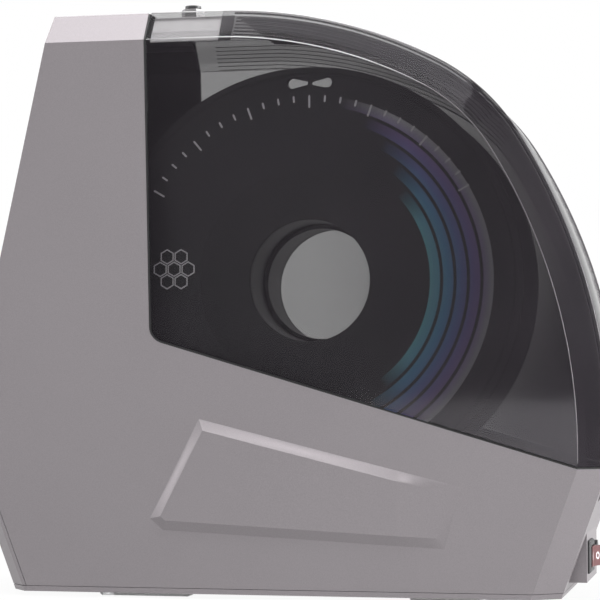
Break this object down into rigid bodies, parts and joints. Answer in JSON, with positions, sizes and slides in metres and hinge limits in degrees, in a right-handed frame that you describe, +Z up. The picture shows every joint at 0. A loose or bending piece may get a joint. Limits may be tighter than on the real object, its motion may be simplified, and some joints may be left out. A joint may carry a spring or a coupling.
{
  "type": "filament dryer box",
  "caption": "Upright heated filament box with a grey wedge case, a smoky hinged lid, and a loaded spool resting on rollers.",
  "frame": {"origin": "on the ground under the middle of the box's overall length and width", "axes": "+X from the display front to the hinged tail, +Y from the near side to the far side, +Z up"},
  "size_m": [0.3144, 0.11, 0.2839],
  "materials": {
    "case_grey": "satin silver-grey paint with a fine grain",
    "feet_rubber": "matte",
    "black_plastic": "matte",
    "bush_white": "smooth",
    "seal_black": "soft matte",
    "steel": "turned",
    "brass": "plain",
    "window_black": "glossy",
    "board_green": "coated",
    "aluminium": "plain",
    "lid_smoke": "clear and smoky",
    "fitting_grey": "smooth",
    "collar_black": "smooth",
    "plug_rubber": "matte",
    "spool_black": "matte",
    "label_dark": "printed film",
    "filament_black": "satin",
    "roller_rubber": "matte",
    "rocker_red": "smooth",
    "button_grey": "satin"
  },
  "bodies": {
    "case": {"body_shell": "case_grey", "chin_cover": "case_grey", "base_plate": "case_grey", "rubber_feet": "feet_rubber", "base_screws": "steel", "chamber_liner": "black_plastic", "liner_screws": "steel", "roller_brackets": "black_plastic", "bracket_screws": "steel", "roller_bushes": "bush_white", "lid_seal": "seal_black", "hinge_pins": "steel", "switch_frame": "black_plastic", "switch_blades": "brass", "dc_jack": "black_plastic", "dc_pin": "steel", "display_window": "window_black", "display_panel": "black_plastic", "control_board": "board_green", "tact_switches": "black_plastic", "board_screws": "steel", "power_board": "board_green", "power_board_parts": "black_plastic", "board_standoffs": "brass", "heater_frame": "black_plastic", "heater_fins": "aluminium", "fan_frame": "black_plastic", "fan_screws": "steel", "humidity_sensor": "bush_white"},
    "lid": {"lid_shell": "lid_smoke", "outlet_fitting": "fitting_grey", "outlet_nut": "fitting_grey"},
    "collar": {"outlet_collar": "collar_black"},
    "plug": {"outlet_plug": "plug_rubber"},
    "spool": {"spool_flange_near": "spool_black", "spool_flange_far": "spool_black", "spool_core": "spool_black", "spool_label": "label_dark", "filament_core": "filament_black", "filament_layer": "filament_black"},
    "front_roller": {"front_roller_shaft": "steel", "front_rollers": "roller_rubber"},
    "rear_roller": {"rear_roller_shaft": "steel", "rear_rollers": "roller_rubber"},
    "fan": {"fan_rotor": "black_plastic"},
    "rocker": {"switch_rocker": "rocker_red"},
    "minus": {"minus_button": "button_grey"},
    "set": {"set_button": "button_grey"},
    "plus": {"plus_button": "button_grey"}
  },
  "joints": [
    {"name": "lid_hinge", "type": "hinge", "parent": "case", "child": "lid", "pos_m": [0.15168, 0, 0.0705], "axis": [0, 1, 0], "range_deg": [0, 95]},
    {"name": "spool_spin", "type": "hinge", "parent": "case", "child": "spool", "pos_m": [0.0088, 0, 0.147], "axis": [0, 1, 0], "continuous": true},
    {"name": "front_roller_spin", "type": "hinge", "parent": "case", "child": "front_roller", "pos_m": [-0.0432, 0, 0.04859], "axis": [0, 1, 0], "continuous": true},
    {"name": "rear_roller_spin", "type": "hinge", "parent": "case", "child": "rear_roller", "pos_m": [0.0608, 0, 0.04859], "axis": [0, 1, 0], "continuous": true},
    {"name": "fan_spin", "type": "hinge", "parent": "case", "child": "fan", "pos_m": [-0.117, 0, 0.076], "axis": [1, 0, 0], "continuous": true},
    {"name": "rocker_tilt", "type": "hinge", "parent": "case", "child": "rocker", "pos_m": [0.13537, -0.014, 0.01975], "axis": [0, 0, 1], "range_deg": [0, 22]},
    {"name": "outlet_collar_press", "type": "slide", "parent": "lid", "child": "collar", "axis": [0, 0, -1], "range_m": [0, 0.0006], "stiffness_N_per_m": 400},
    {"name": "outlet_plug_pull", "type": "slide", "parent": "lid", "child": "plug", "axis": [0.5878, 0, 0.809], "range_m": [0, 0.008]},
    {"name": "minus_button_press", "type": "slide", "parent": "case", "child": "minus", "axis": [0.978, 0, -0.2088], "range_m": [0, 0.001], "stiffness_N_per_m": 400},
    {"name": "set_button_press", "type": "slide", "parent": "case", "child": "set", "axis": [0.978, 0, -0.2088], "range_m": [0, 0.001], "stiffness_N_per_m": 400},
    {"name": "plus_button_press", "type": "slide", "parent": "case", "child": "plus", "axis": [0.978, 0, -0.2088], "range_m": [0, 0.001], "stiffness_N_per_m": 400}
  ],
  "couplings": [
    {"joint": "front_roller_spin", "follows": "spool_spin", "ratio": -9.0909},
    {"joint": "rear_roller_spin", "follows": "spool_spin", "ratio": -9.0909}
  ]
}
